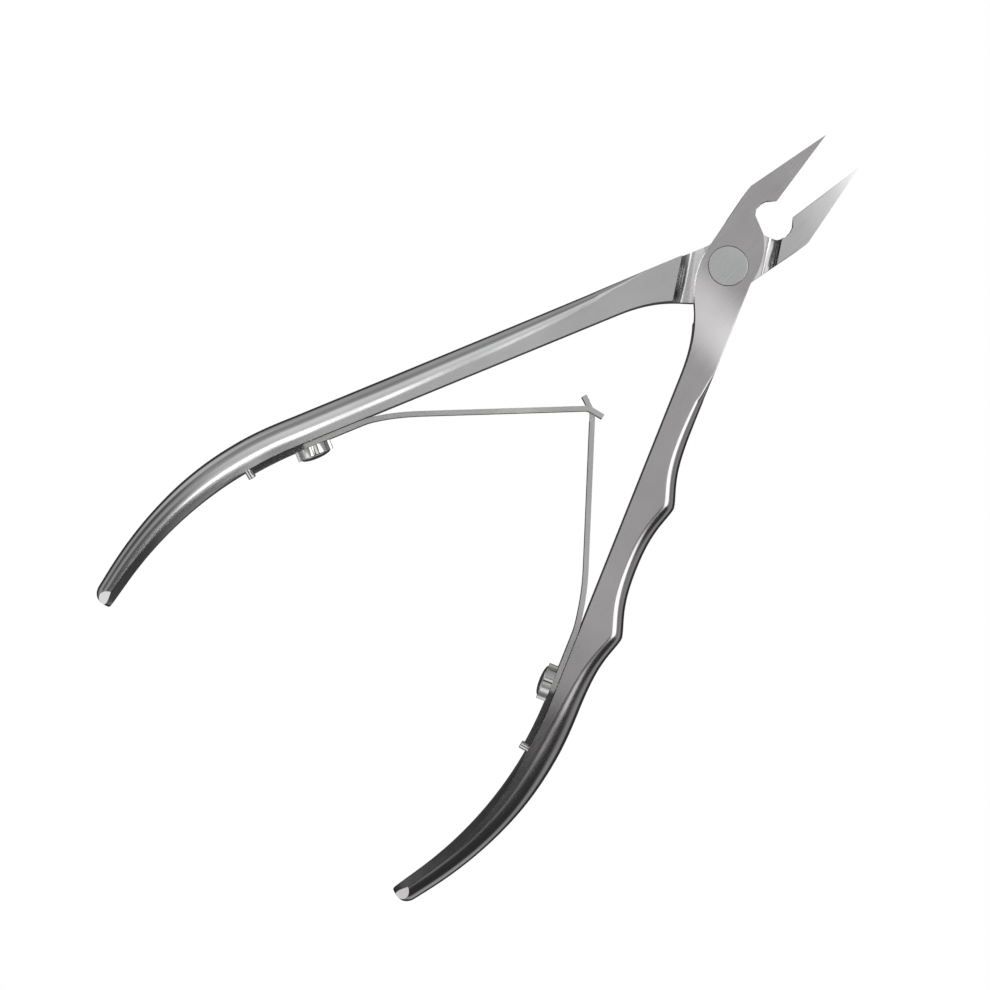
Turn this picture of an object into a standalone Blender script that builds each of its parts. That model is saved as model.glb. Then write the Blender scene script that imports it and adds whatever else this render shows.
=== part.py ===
"""Cuticle nipper with a lap joint and a double leaf return spring.

Frame: metres, +Z up. The nipper lies flat with its underside on Z = 0. The origin is on
the pivot axis, +X points to the jaw tips, and +Y is the lower lever's handle side.
Plan sizes below are for the lower lever, and the upper lever mirrors them in Y.
"""
import math
from typing import NamedTuple

import bmesh
import bpy
from mathutils import Matrix, Vector, geometry

MM = 0.001

# Thicknesses and clearances, in mm
THICKNESS = 6.4            # both levers, flush at the joint
MID = THICKNESS / 2        # height of the lap face
LAP_GAP = 0.06             # between the two lap faces
RUN_GAP = 0.05             # radial clearance of every pin, barrel and screw
SEAT_GAP = 0.05            # between a clamped piece and the face that it sits on
EDGE = 0.12                # broken edge of the ground flats

# Jaws, in mm
JAW_TIP = (21.86, -3.12)
JAW_HEEL = (10.84, -1.53)
JAW_SHOULDER = ((9.9, -5.47), (8.6, -5.28))
JAW_WAIST = (-0.2, -3.6)
BEVEL_DEPTH = 2.4          # height of the ground wedge under the cutting edge
BEVEL_SET_BACK = 1.4       # how far the wedge runs back into the jaw
BEVEL_OVERRUN = 1.7        # past the heel, into the relief window
JAW_TIP_THICKNESS = 1.6
JAW_TAPER_START = 7.5      # X where the underside starts to rise to the tip

# Relief window behind the heels, in mm
WINDOW = ((9.95, -2.5), (9.2, -2.78), (8.1, -2.7), (7.45, -2.2), (6.95, -0.9), (6.4, 0.45))

# Lap joint, in mm and degrees
LAP_SKEW = 33.0            # direction of the shoulder lines from +X
LAP_HALF_WIDTH = 6.42      # from the pivot axis to each shoulder line
COVE_RADIUS = 2.3
COVE_DIP = 0.25            # how far the cove runs below the lap face
PLATE_CORNER = (0.4, 3.88)

# Handles, in mm and degrees
HANDLE_STRAIGHT = 47.3
HANDLE_BEND_RADIUS = 53.5
HANDLE_BEND = 32.3
HANDLE_LENGTH = 81.8             # along the inner edge, from its start to the tip
HANDLE_WIDTH = 4.0
HANDLE_SWELL = 0.15              # extra width where the handle bends
NARROWING_START = 61.0
NARROWING = 0.066                # width lost per mm towards the tip
TIP_THICKNESS = 4.6
THINNING_START = 48.0
TIP_RADIUS = 1.6
TIP_ROUNDING = 0.9               # taken off the half thickness at the very end
FLAT_SHARE = 0.2                 # of the width that stays flat on a fully rounded handle


class Lever(NamedTuple):
    """What tells one lever from the other."""
    name: str
    side: int                    # +1 where the handle lies at +Y, -1 at -Y
    start: tuple                 # start of the handle, on its inner edge, in mm
    angle: float                 # of the handle's straight part to the X axis, in degrees
    crotch: tuple                # turn of the inner edge between joint and handle, in mm
    has_rests: bool


LOWER = Lever("lower_lever", 1, (-15.0, 5.95), 22.75, (-7.3, 0.55), False)
UPPER = Lever("upper_lever", -1, (-15.0, 6.09), 23.1, (-7.12, 0.75), True)

# Finger rests on the upper lever, in mm
REST_PLACES = (17.1, 36.2)       # along the inner edge from the handle's start
REST_HEIGHT = 1.76
REST_RUN = 3.9
REST_EXTRA_WIDTH = 0.05          # of the whole handle that carries the rests

# Pivot, in mm
STUD_HEAD_RADIUS = 2.7
STUD_HEAD_DEPTH = 1.5
BARREL_RADIUS = 1.9
SCREW_HEAD_RADIUS = 2.7
SCREW_HEAD_DEPTH = 1.4
SCREW_SHANK_RADIUS = 1.1
SCREW_SLOT_WIDTH = 0.8
SCREW_SLOT_DEPTH = 0.7

# Leaf springs, in mm and degrees
LEAF_THICKNESS = 0.7
LEAF_WIDTH = 4.0
LEAF_SEAT = 0.06                 # between the leaf and its handle
LEAF_HINGE = 37.4                # along the inner edge, where the leaf starts to flex
LEAF_SPLIT = 0.12                # gap between clamped foot and flexing blade
LEAF_LIFT = 8.0                  # the blade's first direction, away from the handle
TAIL_END = 0.2                   # the clamped tail ends this far before the pin's middle
TAIL_NOTCH = 1.5                 # width of the fork that takes the locating pin
TAIL_NOTCH_DEPTH = 0.45
SLOT_WIDTH = 2.1
NECK_WIDTH = 1.5

# Thumb screws and locating pins, in mm
THUMB_PLACE = 45.5               # along the inner edge
THUMB_RADIUS = 2.55
THUMB_LOBES = 6
THUMB_LOBE_DEPTH = 0.32
THUMB_HEIGHT = 1.25
THUMB_DOME = 0.5
THUMB_SHANK_RADIUS = 0.9
THUMB_SHANK_LENGTH = 3.0
PIN_PLACE = 54.9                 # along the inner edge
PIN_RADIUS = 0.55
PIN_PROUD = 1.15
PIN_DEPTH = 1.9

ARC_STEPS = 5                    # segments in a rounded edge


def clear_scene():
    for thing in list(bpy.data.objects):
        bpy.data.objects.remove(thing, do_unlink=True)


def steel(name, colour, roughness):
    material = bpy.data.materials.new(name)
    material.use_nodes = True
    shader = material.node_tree.nodes["Principled BSDF"]
    shader.inputs["Base Color"].default_value = (*colour, 1.0)
    shader.inputs["Metallic"].default_value = 1.0
    shader.inputs["Roughness"].default_value = roughness
    return material


def add_object(bm, name, material=None):
    """Closes the bmesh into a named object with its faces pointing out."""
    bmesh.ops.recalc_face_normals(bm, faces=bm.faces[:])
    mesh = bpy.data.meshes.new(name)
    bm.to_mesh(mesh)
    bm.free()
    mesh.shade_smooth()
    mesh.set_sharp_from_angle(angle=math.radians(28))
    thing = bpy.data.objects.new(name, mesh)
    bpy.context.scene.collection.objects.link(thing)
    if material:
        mesh.materials.append(material)
    return thing


def cut(thing, cutter):
    """Takes the cutter's shape out of the object."""
    cutter.hide_render = True
    cutter.display_type = "WIRE"
    modifier = thing.modifiers.new(cutter.name, "BOOLEAN")
    modifier.operation = "DIFFERENCE"
    modifier.solver = "EXACT"
    modifier.object = cutter


def loft(rings):
    """A closed solid through rings of points in mm, each with the same number of points."""
    bm = bmesh.new()
    start = bm.faces.new([bm.verts.new(Vector(point) * MM) for point in rings[0]])
    end = start
    for ring in rings[1:]:
        made = bmesh.ops.extrude_face_region(bm, geom=[end])["geom"]
        if end is not start:
            bmesh.ops.delete(bm, geom=[end], context="FACES_ONLY")
        end = next(part for part in made if isinstance(part, bmesh.types.BMFace))
        for vert, point in zip(end.verts, ring):
            vert.co = Vector(point) * MM
    return bm


def turn(point, degrees):
    """A plan vector turned about Z."""
    angle = math.radians(degrees)
    x, y = point
    return (x * math.cos(angle) - y * math.sin(angle), x * math.sin(angle) + y * math.cos(angle))


def smooth_run(start, start_angle, end, end_angle, steps):
    """Points of a smooth plan curve that leaves and arrives at the given directions."""
    start, end = Vector((*start, 0.0)), Vector((*end, 0.0))
    reach = (end - start).length * 0.36
    leave = start + Vector((*turn((reach, 0.0), start_angle), 0.0))
    arrive = end - Vector((*turn((reach, 0.0), end_angle), 0.0))
    return [tuple(p.xy) for p in geometry.interpolate_bezier(start, leave, arrive, end, steps + 1)]


def smoothstep(low, high, value):
    t = min(max((value - low) / (high - low), 0.0), 1.0)
    return t * t * (3.0 - 2.0 * t)


# ---------------------------------------------------------------- levers

def handle_frame(lever, u):
    """The inner edge's plan point and the outward direction, u mm along the handle."""
    arc_end = HANDLE_STRAIGHT + HANDLE_BEND_RADIUS * math.radians(HANDLE_BEND)
    bent = min(max(u, HANDLE_STRAIGHT), arc_end) - HANDLE_STRAIGHT
    first = math.radians(lever.angle)
    angle = first - bent / HANDLE_BEND_RADIUS
    x = lever.start[0] - min(u, HANDLE_STRAIGHT) * math.cos(first)
    y = lever.start[1] + min(u, HANDLE_STRAIGHT) * math.sin(first)
    x -= HANDLE_BEND_RADIUS * (math.sin(first) - math.sin(angle))
    y += HANDLE_BEND_RADIUS * (math.cos(angle) - math.cos(first))
    past = max(u - arc_end, 0.0)
    x -= past * math.cos(angle)
    y += past * math.sin(angle)
    return (x, y), (math.sin(angle), math.cos(angle))


def finger_rest(u, place):
    return REST_HEIGHT * math.exp(-((abs(u - place) / REST_RUN) ** 1.45))


def handle_section(lever, u):
    """Width, half thickness, and the plan and height run of the outer rounding."""
    past = u - NARROWING_START
    width = HANDLE_WIDTH + HANDLE_SWELL * smoothstep(46.0, 54.0, u)
    width -= NARROWING * (past + math.hypot(past, 4.0)) / 2
    half = MID - (MID - TIP_THICKNESS / 2) * smoothstep(THINNING_START, HANDLE_LENGTH + 6.0, u)
    full_round = (1.0 - FLAT_SHARE) * width
    if lever.has_rests:
        width += REST_EXTRA_WIDTH + sum(finger_rest(u, place) for place in REST_PLACES)
        begun = 1.0 - math.exp(-max(u + 4.0, 0.0) / 6.0)
        grown = smoothstep(36.0, 54.0, u)
        plan_run = 1.8 * begun + (full_round - 1.8) * grown
        height_run = 2.3 * begun + (half - 2.3) * grown
    else:
        plan_run = full_round * (1.0 - math.exp(-max(u + 8.0, 0.0) / 19.0))
        height_run = half * (1.0 - math.exp(-max(u + 8.0, 0.0) / 12.0))
    return width, half, max(plan_run, EDGE), min(max(height_run, EDGE), half - 0.02)


def lever_ring(inner, outer, half, plan_run, height_run):
    """One cross-section of a lever, between two plan points, as a ring of 3-D points."""
    inner, outer = Vector(inner), Vector(outer)
    across = (outer - inner).normalized()
    edge = min(EDGE, (outer - inner).length * 0.2)
    quarter = []
    for step in range(ARC_STEPS + 1):
        angle = math.radians(90.0 * step / ARC_STEPS)
        quarter.append((outer - across * plan_run * (1.0 - math.sin(angle)),
                        half - height_run * (1.0 - math.cos(angle))))
    upper = [(inner, half - edge), (inner + across * edge, half)] + quarter
    lower = [(plan, -height) for plan, height in reversed(upper)]
    return [(plan.x, plan.y, MID + height) for plan, height in upper + lower]


def edge_height(points, x):
    """Y of a plan edge at x. The points run from the jaw to the handle."""
    for (x1, y1), (x0, y0) in zip(points, points[1:]):
        if x0 <= x <= x1:
            return y0 + (y1 - y0) * (x - x0) / max(x1 - x0, 1e-9)
    return points[0][1] if x > points[0][0] else points[-1][1]


def joint_edges(lever):
    """The lever's two plan edges from the jaw tip to the start of the handle."""
    start_outer = lever.start[1] + HANDLE_WIDTH / math.cos(math.radians(lever.angle))
    plate = smooth_run(WINDOW[-1], 128.0, PLATE_CORNER, 172.0, 7)
    cutting = [JAW_TIP, JAW_HEEL, *WINDOW, *plate[1:], (lever.start[0], start_outer)]
    throat = smooth_run(JAW_WAIST, 169.0, lever.crotch, 131.0, 9)
    root = smooth_run(lever.crotch, 131.0, lever.start, 180.0 - lever.angle, 7)
    back = [(JAW_TIP[0], JAW_TIP[1] - 0.06), *JAW_SHOULDER, *throat, *root[1:]]
    return cutting, back


def lever_body(lever, material):
    """The forged lever before machining."""
    cutting, back = joint_edges(lever)
    places = sorted({round(x, 4) for x, _ in cutting + back}, reverse=True)
    rings = []
    for x in places:
        y_in, y_out = edge_height(back, x), edge_height(cutting, x)
        u = (lever.start[0] - x) / math.cos(math.radians(lever.angle))
        _, half, plan_run, height_run = handle_section(lever, u)
        if x > JAW_WAIST[0]:
            plan_run = height_run = min(0.02, (y_out - y_in) * 0.2)
        rings.append(lever_ring((x, y_in), (x, y_out), half, plan_run, height_run))
    steps = 76
    for step in range(2, steps + 1):
        u = (HANDLE_LENGTH - TIP_RADIUS) * step / steps
        (x, y), (out_x, out_y) = handle_frame(lever, u)
        width, half, plan_run, height_run = handle_section(lever, u)
        outer = (x + out_x * width, y + out_y * width)
        rings.append(lever_ring((x, y), outer, half, plan_run, height_run))
    for step in range(1, 6):
        along = math.sin(math.radians(18.0 * step))
        drop = 1.0 - math.cos(math.radians(18.0 * step))
        u = HANDLE_LENGTH - TIP_RADIUS * (1.0 - along)
        (x, y), (out_x, out_y) = handle_frame(lever, u)
        width, half, plan_run, height_run = handle_section(lever, u)
        half -= TIP_ROUNDING * drop
        width -= 1.2 * drop
        outer = (x + out_x * width, y + out_y * width)
        plan_run = min(plan_run, (1.0 - FLAT_SHARE) * width)
        rings.append(lever_ring((x, y), outer, half, plan_run, min(height_run, half - 0.02)))
    return add_object(loft([[(x, y * lever.side, z) for x, y, z in ring] for ring in rings]),
                      lever.name, material)


def prism(name, outline, place, direction, length):
    """A cutter: an outline of (across, height) points run along a plan direction."""
    along = Vector((*direction, 0.0)).normalized()
    across = Vector((-along.y, along.x, 0.0))
    base = Vector((*place, 0.0))
    rings = []
    for run in (-length / 2, length / 2):
        rings.append([base + along * run + across * c + Vector((0.0, 0.0, h)) for c, h in outline])
    return add_object(loft(rings), name)


def cylinder(name, radius, start, end, segments=32, material=None):
    """A round bar between two points in mm."""
    start, end = Vector(start), Vector(end)
    axis = (end - start).normalized()
    turned = axis.to_track_quat("Z", "Y").to_matrix()
    rings = []
    for centre in (start, end):
        ring = []
        for step in range(segments):
            angle = math.tau * step / segments
            spoke = Vector((radius * math.cos(angle), radius * math.sin(angle), 0.0))
            ring.append(centre + turned @ spoke)
        rings.append(ring)
    return add_object(loft(rings), name, material)


def cut_lap(lever, body):
    """Mills the half lap, with a cove at each shoulder, from the lever's meeting side."""
    cove = []
    for step in range(7):
        angle = math.radians(15.0 * step)
        cove.append((-LAP_HALF_WIDTH + COVE_RADIUS * (1.0 - math.cos(angle)),
                     COVE_RADIUS - COVE_DIP - COVE_RADIUS * math.sin(angle)))
    ramp = -LAP_HALF_WIDTH + COVE_RADIUS + 0.9
    left = [(-LAP_HALF_WIDTH, MID + 1.0), *cove, (ramp, -LAP_GAP / 2)]
    profile = left + [(-across, height) for across, height in reversed(left)]
    profile = [(across, MID + height * lever.side) for across, height in profile]
    direction = turn((1.0, 0.0), LAP_SKEW * lever.side)
    cut(body, prism(lever.name + "_lap_cutter", profile, (0.0, 0.0), direction, 40.0))


def cut_jaw(lever, body):
    """Grinds the wedge under the cutting edge and thins the jaw towards its tip."""
    tip = Vector((JAW_TIP[0], JAW_TIP[1] * lever.side))
    heel = Vector((JAW_HEEL[0], JAW_HEEL[1] * lever.side))
    edge = (tip - heel).normalized()
    lean = BEVEL_SET_BACK / BEVEL_DEPTH
    wedge = [(2.0, THICKNESS + 1.0), (lean, THICKNESS + 1.0),
             (-BEVEL_SET_BACK, THICKNESS - BEVEL_DEPTH), (-BEVEL_SET_BACK, -1.0), (2.0, -1.0)]
    wedge = [(across * lever.side, height) for across, height in wedge]
    length = (tip - heel).length + BEVEL_OVERRUN + 2.0
    place = heel + edge * (length / 2 - BEVEL_OVERRUN)
    cut(body, prism(lever.name + "_bevel_cutter", wedge, place, edge, length))
    rise = THICKNESS - JAW_TIP_THICKNESS
    slope = rise / (JAW_TIP[0] - JAW_TAPER_START)
    far = 24.0
    under = [(JAW_TAPER_START - 1.0, -slope), (far, slope * (far - JAW_TAPER_START)),
             (far, -3.0), (JAW_TAPER_START - 1.0, -3.0)]
    rings = [[(x, y, z) for x, z in under] for y in (-12.0, 12.0)]
    cut(body, add_object(loft(rings), lever.name + "_taper_cutter"))


def on_handle(lever, u, off):
    """A point at mid height, off mm inside the handle's inner face and u mm along it."""
    (x, y), (out_x, out_y) = handle_frame(lever, u)
    return (x - out_x * off, (y - out_y * off) * lever.side, MID)


def cut_handle_holes(lever, body):
    """Drills the blind holes of the thumb screw and the locating pin."""
    thumb_depth = THUMB_SHANK_LENGTH - LEAF_SEAT - LEAF_THICKNESS
    for label, place, radius, depth in (("thumb", THUMB_PLACE, THUMB_SHANK_RADIUS, thumb_depth),
                                        ("pin", PIN_PLACE, PIN_RADIUS, PIN_DEPTH)):
        bottom = on_handle(lever, place, -depth - SEAT_GAP)
        mouth = on_handle(lever, place, 1.0)
        cut(body, cylinder(f"{lever.name}_{label}_drill", radius + RUN_GAP, bottom, mouth, 20))


def cut_pivot(body, head_radius, head_face, head_floor):
    """Bores the lever for the stud's barrel and sinks the seat of a flush head."""
    cut(body, cylinder(body.name + "_bore", BARREL_RADIUS + RUN_GAP,
                       (0, 0, -1), (0, 0, THICKNESS + 1), 40))
    cut(body, cylinder(body.name + "_seat", head_radius + RUN_GAP,
                       (0, 0, head_floor), (0, 0, head_face), 48))


# ---------------------------------------------------------------- leaf springs

def strip(name, path, widths, material):
    """A flat strip on edge along a plan path. widths gives its height range at each point."""
    rings = []
    for index, point in enumerate(path):
        before, after = path[max(index - 1, 0)], path[min(index + 1, len(path) - 1)]
        along = (Vector(after) - Vector(before)).normalized()
        across = Vector((-along.y, along.x)) * (LEAF_THICKNESS / 2)
        left, right = Vector(point) + across, Vector(point) - across
        low, high = widths[index]
        rings.append([(left.x, left.y, low), (right.x, right.y, low),
                      (right.x, right.y, high), (left.x, left.y, high)])
    return add_object(loft(rings), name, material)


def leaf_line(lever, u):
    """A plan point on the clamped leaf's middle line."""
    x, y, _ = on_handle(lever, u, LEAF_SEAT + LEAF_THICKNESS / 2)
    return (x, y)


def leaf_foot(name, lever, material):
    """The clamped end, with a screw hole and a fork around the locating pin."""
    start = LEAF_HINGE + LEAF_SPLIT / 2
    tail = PIN_PLACE - TAIL_END
    path = [leaf_line(lever, start + (tail - start) * step / 12) for step in range(13)]
    full = (MID - LEAF_WIDTH / 2, MID + LEAF_WIDTH / 2)
    foot = strip(name, path, [full] * len(path), material)
    hole = cylinder(name + "_hole", THUMB_SHANK_RADIUS + 0.1, on_handle(lever, THUMB_PLACE, -0.5),
                    on_handle(lever, THUMB_PLACE, 2.0), 20)
    cut(foot, hole)
    fork_end = on_handle(lever, tail + 1.0, 0.0)
    fork_root = on_handle(lever, tail - TAIL_NOTCH_DEPTH, 0.0)
    middle = ((fork_end[0] + fork_root[0]) / 2, (fork_end[1] + fork_root[1]) / 2)
    direction = (fork_end[0] - fork_root[0], fork_end[1] - fork_root[1])
    half = TAIL_NOTCH / 2
    fork = prism(name + "_fork", [(-2.0, MID - half), (2.0, MID - half), (2.0, MID + half),
                                  (-2.0, MID + half)], middle, direction, 1.0 + TAIL_NOTCH_DEPTH)
    cut(foot, fork)
    return foot


def blade_path(lever, settle, bend_point, end_point):
    """The flexing part: off the handle, straight to the hook, then bent across it."""
    start = leaf_line(lever, LEAF_HINGE - LEAF_SPLIT / 2)
    bend = Vector(bend_point)
    aim = math.degrees(math.atan2(bend.y - settle[1], bend.x - settle[0]))
    path = smooth_run(start, -(lever.angle + LEAF_LIFT) * lever.side, settle, aim, 8)
    straight_end = bend - Vector(turn((0.55, 0.0), aim))
    path += [tuple(Vector(settle).lerp(straight_end, step / 4)) for step in range(1, 5)]
    finish = Vector(end_point)
    last = math.degrees(math.atan2(finish.y - bend.y, finish.x - bend.x))
    hook_start = bend + Vector(turn((0.55, 0.0), last))
    path += smooth_run(tuple(straight_end), aim, tuple(hook_start), last, 4)[1:]
    path += [tuple(hook_start.lerp(finish, step / 3)) for step in range(1, 4)]
    return path


def slotted_blade(name, lever, material):
    """The leaf whose hooked end has a slot."""
    settle, bend, end = (-43.4, 15.25), (-26.95, -0.28), (-26.42, -2.45)
    path = blade_path(lever, settle, bend, end)
    full = (MID - LEAF_WIDTH / 2, MID + LEAF_WIDTH / 2)
    blade = strip(name, path, [full] * len(path), material)
    half = SLOT_WIDTH / 2
    window = [(-1.75, MID - half), (1.6, MID - half), (1.6, MID + half), (-1.75, MID + half)]
    cut(blade, prism(name + "_slot", window, (-27.1, -0.05), (1.0, 0.0), 3.0))
    return blade


def tongue_blade(name, lever, material):
    """The leaf whose hooked end is a narrow neck with a T-shaped head."""
    settle, bend, end = (-42.6, -15.3), (-26.95, -0.98), (-26.2, 1.42)
    path = blade_path(lever, settle, bend, end)
    full = (MID - LEAF_WIDTH / 2, MID + LEAF_WIDTH / 2)
    blade = strip(name, path, [full] * len(path), material)
    half = NECK_WIDTH / 2
    for label, low, high in (("over", MID + half, MID + 3.0), ("under", MID - 3.0, MID - half)):
        notch = [(-1.5, low), (0.42, low), (0.42, high), (-1.5, high)]
        cut(blade, prism(name + "_" + label, notch, (-26.9, -0.1), (1.0, 0.0), 3.0))
    return blade


# ---------------------------------------------------------------- fasteners

def thumb_screw(name, lever, material):
    """A lobed, slightly domed head on a plain shank, through the leaf into the handle."""
    seat = LEAF_SEAT + LEAF_THICKNESS + SEAT_GAP
    foot = Vector(on_handle(lever, THUMB_PLACE, seat))
    axis = (Vector(on_handle(lever, THUMB_PLACE, seat + 1.0)) - foot).normalized()
    turned = axis.to_track_quat("Z", "Y").to_matrix()
    steps = THUMB_LOBES * 8

    def ring(shank, lobed, height):
        points = []
        for step in range(steps):
            angle = math.tau * step / steps
            radius = shank - lobed * THUMB_LOBE_DEPTH * (0.5 - 0.5 * math.cos(THUMB_LOBES * angle)) ** 2
            spoke = Vector((radius * math.cos(angle), radius * math.sin(angle), height))
            points.append(foot + turned @ spoke)
        return points

    rings = [ring(THUMB_SHANK_RADIUS, 0.0, -THUMB_SHANK_LENGTH), ring(THUMB_SHANK_RADIUS, 0.0, 0.0),
             ring(THUMB_RADIUS - 0.15, 1.0, 0.0), ring(THUMB_RADIUS, 1.0, 0.15),
             ring(THUMB_RADIUS, 1.0, THUMB_HEIGHT - 0.15), ring(THUMB_RADIUS - 0.15, 1.0, THUMB_HEIGHT)]
    for share, lift in ((0.75, 0.5), (0.4, 0.85), (0.1, 1.0)):
        rings.append(ring(THUMB_RADIUS * share, 0.0, THUMB_HEIGHT + THUMB_DOME * lift))
    thing = add_object(loft(rings), name, material)
    return set_origin(thing, foot)


def set_origin(thing, place):
    """Moves the object's origin to a point in mm and leaves its shape where it is."""
    offset = Vector(place) * MM
    thing.data.transform(Matrix.Translation(-offset))
    thing.location = offset
    return thing


def locating_pin(name, lever, material):
    start = on_handle(lever, PIN_PLACE, -PIN_DEPTH)
    end = on_handle(lever, PIN_PLACE, PIN_PROUD)
    return cylinder(name, PIN_RADIUS, start, end, 20, material)


def pivot_stud(material):
    """A plain flush head on a barrel that is threaded inside for the pivot screw."""
    stud = cylinder("pivot_stud", STUD_HEAD_RADIUS, (0, 0, THICKNESS - STUD_HEAD_DEPTH),
                    (0, 0, THICKNESS), 48, material)
    barrel = cylinder("stud_barrel", BARREL_RADIUS, (0, 0, SCREW_HEAD_DEPTH + SEAT_GAP),
                      (0, 0, THICKNESS - STUD_HEAD_DEPTH / 2), 40)
    barrel.hide_render = True
    barrel.display_type = "WIRE"
    join = stud.modifiers.new("barrel", "BOOLEAN")
    join.operation = "UNION"
    join.solver = "EXACT"
    join.object = barrel
    cut(stud, cylinder("stud_thread", SCREW_SHANK_RADIUS + RUN_GAP, (0, 0, 0), (0, 0, 5.0), 32))
    return stud


def pivot_screw(material):
    """The slotted screw that closes the joint from underneath."""
    rings = []
    for radius, height in ((SCREW_HEAD_RADIUS - 0.1, 0.0), (SCREW_HEAD_RADIUS, 0.1),
                           (SCREW_HEAD_RADIUS, SCREW_HEAD_DEPTH), (SCREW_SHANK_RADIUS, SCREW_HEAD_DEPTH),
                           (SCREW_SHANK_RADIUS, 4.7)):
        rings.append([(radius * math.cos(math.tau * step / 48), radius * math.sin(math.tau * step / 48),
                       height) for step in range(48)])
    screw = add_object(loft(rings), "pivot_screw", material)
    half = SCREW_SLOT_WIDTH / 2
    slot = [(-half, -1.0), (half, -1.0), (half, SCREW_SLOT_DEPTH), (-half, SCREW_SLOT_DEPTH)]
    cut(screw, prism("screw_slot", slot, (0.0, 0.0), turn((1.0, 0.0), 20.0), 8.0))
    return screw


def build():
    clear_scene()
    satin = steel("satin_stainless", (0.62, 0.62, 0.63), 0.22)
    spring = steel("spring_steel", (0.60, 0.60, 0.61), 0.28)
    bright = steel("plated_screw", (0.75, 0.75, 0.76), 0.15)

    for lever in (LOWER, UPPER):
        body = lever_body(lever, satin)
        cut_lap(lever, body)
        cut_jaw(lever, body)
        cut_handle_holes(lever, body)
        if lever is LOWER:
            cut_pivot(body, SCREW_HEAD_RADIUS, -1.0, SCREW_HEAD_DEPTH + SEAT_GAP)
        else:
            cut_pivot(body, STUD_HEAD_RADIUS, THICKNESS + 1.0, THICKNESS - STUD_HEAD_DEPTH - SEAT_GAP)
    pivot_stud(satin)
    pivot_screw(satin)
    leaf_foot("slotted_leaf_foot", LOWER, spring)
    leaf_foot("tongue_leaf_foot", UPPER, spring)
    slotted_blade("slotted_leaf_blade", LOWER, spring)
    tongue_blade("tongue_leaf_blade", UPPER, spring)
    thumb_screw("lower_thumb_screw", LOWER, bright)
    thumb_screw("upper_thumb_screw", UPPER, bright)
    locating_pin("lower_locating_pin", LOWER, bright)
    locating_pin("upper_locating_pin", UPPER, bright)


build()
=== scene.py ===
"""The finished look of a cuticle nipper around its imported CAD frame.

Metres, +Z up. The pivot axis is the Z axis, +X points to the jaw tips, and the lower lever's
handle is on the +Y side. Named sizes are in mm. Plan sizes are the lower lever's, and the upper
lever mirrors them.
"""
import math
from typing import NamedTuple

import bmesh
import bpy
from mathutils import Matrix, Vector, geometry


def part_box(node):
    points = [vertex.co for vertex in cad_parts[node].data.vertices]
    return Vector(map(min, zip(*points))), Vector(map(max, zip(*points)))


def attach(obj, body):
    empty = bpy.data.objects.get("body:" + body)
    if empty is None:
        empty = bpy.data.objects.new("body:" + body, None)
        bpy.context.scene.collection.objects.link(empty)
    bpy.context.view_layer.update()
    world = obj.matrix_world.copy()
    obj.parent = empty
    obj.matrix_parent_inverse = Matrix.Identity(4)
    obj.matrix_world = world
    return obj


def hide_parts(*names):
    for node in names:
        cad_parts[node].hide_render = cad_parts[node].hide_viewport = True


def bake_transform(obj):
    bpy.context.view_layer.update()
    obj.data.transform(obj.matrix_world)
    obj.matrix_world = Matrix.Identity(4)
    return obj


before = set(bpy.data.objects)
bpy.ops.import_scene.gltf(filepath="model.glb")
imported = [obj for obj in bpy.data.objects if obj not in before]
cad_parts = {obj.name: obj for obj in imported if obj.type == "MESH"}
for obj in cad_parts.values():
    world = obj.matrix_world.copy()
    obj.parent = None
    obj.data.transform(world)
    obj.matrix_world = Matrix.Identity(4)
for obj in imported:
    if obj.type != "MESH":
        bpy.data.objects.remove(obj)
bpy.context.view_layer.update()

MM = 0.001

# ---------------------------------------------------------------- table, camera and lights
# The nipper lies flat on a white sheet and is seen from straight above. A dim tent lights the
# steel, and its soft panels and dark flags draw the bands along the rounded edges.

VIEW_CENTRE = (-44.35, 0.47)     # the point of the nipper below the camera
VIEW_HEIGHT = 410.0              # above the top faces
VIEW_TURN = -45.1                # of the camera about its view direction, in degrees
LENS = 109.9
SENSOR_WIDTH = 36.0
SHEET_REACH = 600.0              # from the middle of the white sheet to its sides
SHEET_DROP = 0.05                # below the nipper's underside
top_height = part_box("upper_lever")[1].z


def linear(hex_colour):
    """A linear colour from sRGB hex."""
    parts = [int(hex_colour[i:i + 2], 16) / 255 for i in (0, 2, 4)]
    return tuple(c / 12.92 if c <= 0.04045 else ((c + 0.055) / 1.055) ** 2.4 for c in parts) + (1.0,)


def add_node(tree, kind, settings=(), links=()):
    """Adds a node, sets its attributes or input values, and links outputs to its inputs."""
    node = tree.nodes.new(kind)
    for key, value in dict(settings).items():
        if isinstance(key, str) and hasattr(node, key):
            setattr(node, key, value)
        else:
            node.inputs[key].default_value = value
    for key, output in dict(links).items():
        tree.links.new(output, node.inputs[key])
    return node


# A Mix node's sockets for two values or two colours share their names, so they go by number.
VALUE_A, VALUE_B, COLOUR_A, COLOUR_B, MIXED_COLOUR = 2, 3, 6, 7, 2

camera = bpy.data.objects.new("camera", bpy.data.cameras.new("camera"))
camera.data.lens = LENS
camera.data.sensor_width = SENSOR_WIDTH
camera.data.clip_start = 0.01
camera.location = Vector((VIEW_CENTRE[0] * MM, VIEW_CENTRE[1] * MM, top_height + VIEW_HEIGHT * MM))
camera.rotation_euler = (0.0, 0.0, math.radians(VIEW_TURN))
bpy.context.scene.collection.objects.link(camera)
bpy.context.scene.camera = camera
bpy.context.scene.view_settings.view_transform = "Standard"

# The tent's grey level by height, from straight down (-1) to straight up (1).
TENT_LEVELS = ((-1.0, 0.06), (-0.68, 0.03), (-0.56, 0.04), (-0.40, 0.34), (-0.2, 0.38),
               (0.1, 0.28), (0.35, 0.36), (0.7, 0.42), (0.9, 0.47), (1.0, 0.48))
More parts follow.
